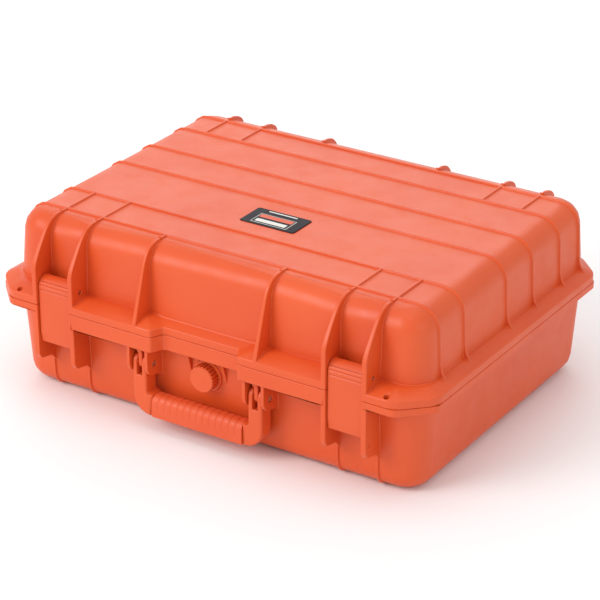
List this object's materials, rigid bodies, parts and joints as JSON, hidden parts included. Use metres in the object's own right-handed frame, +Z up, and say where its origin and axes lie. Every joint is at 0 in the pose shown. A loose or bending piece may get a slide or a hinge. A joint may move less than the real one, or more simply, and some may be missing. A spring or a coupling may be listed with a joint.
{
  "type": "hard equipment case",
  "caption": "Ribbed moulded equipment case with a hinged lid, over-centre front latches, a hanging ridged carry handle and a pressure purge valve.",
  "frame": {"origin": "centre of the case's outline in plan, at the underside of the skid ribs it stands on", "axes": "+X to the right along the front, +Y from the front (handle and latches) to the rear hinge, +Z up"},
  "size_m": [0.546, 0.427, 0.205],
  "materials": {
    "shell": "fine moulded grain, soft sheen",
    "latch": "fine moulded grain",
    "handle": "fine moulded grain",
    "grip": "ridged soft overmould",
    "valve_cap": "fine moulded grain",
    "steel": "plain ground pin",
    "seal_rubber": "matte",
    "black_plastic": "satin",
    "label": "satin, blank",
    "membrane": "fine woven disc"
  },
  "bodies": {
    "base": {"base_shell": "shell", "hinge_pin_left": "steel", "hinge_pin_right": "steel", "handle_pin_left": "steel", "handle_pin_right": "steel", "valve_body": "black_plastic", "valve_nut": "black_plastic", "valve_membrane": "membrane"},
    "lid": {"lid_shell": "shell", "rim_seal": "seal_rubber", "label_plate": "label", "latch_pin_left": "steel", "latch_pin_right": "steel"},
    "lever_left": {"latch_lever_left": "latch", "latch_link_pin_left": "steel"},
    "hook_left": {"latch_hook_left": "latch"},
    "lever_right": {"latch_lever_right": "latch", "latch_link_pin_right": "steel"},
    "hook_right": {"latch_hook_right": "latch"},
    "handle": {"handle_frame": "handle", "handle_grip": "grip"},
    "knob": {"valve_knob": "valve_cap", "valve_o_ring": "seal_rubber"}
  },
  "joints": [
    {"name": "lid_hinge", "type": "hinge", "parent": "base", "child": "lid", "pos_m": [0, 0.207, 0.114], "axis": [-1, 0, 0], "range_deg": [0, 100]},
    {"name": "latch_left", "type": "hinge", "parent": "lid", "child": "lever_left", "pos_m": [-0.182, -0.199, 0.1348], "axis": [-1, 0, 0], "range_deg": [0, 120]},
    {"name": "hook_left", "type": "hinge", "parent": "lever_left", "child": "hook_left", "pos_m": [-0.182, -0.1977, 0.1403], "axis": [-1, 0, 0], "range_deg": [-30, 0]},
    {"name": "latch_right", "type": "hinge", "parent": "lid", "child": "lever_right", "pos_m": [0.182, -0.199, 0.1348], "axis": [-1, 0, 0], "range_deg": [0, 120]},
    {"name": "hook_right", "type": "hinge", "parent": "lever_right", "child": "hook_right", "pos_m": [0.182, -0.1977, 0.1403], "axis": [-1, 0, 0], "range_deg": [-30, 0]},
    {"name": "handle_swing", "type": "hinge", "parent": "base", "child": "handle", "pos_m": [0, -0.199, 0.077], "axis": [-1, 0, 0], "range_deg": [0, 110]},
    {"name": "valve_turn", "type": "hinge", "parent": "base", "child": "knob", "pos_m": [0, -0.196, 0.0745], "axis": [0, -1, 0], "range_deg": [0, 360]}
  ],
  "couplings": [
    {"joint": "hook_left", "follows": "latch_left", "ratio": -0.25},
    {"joint": "hook_right", "follows": "latch_right", "ratio": -0.25}
  ]
}
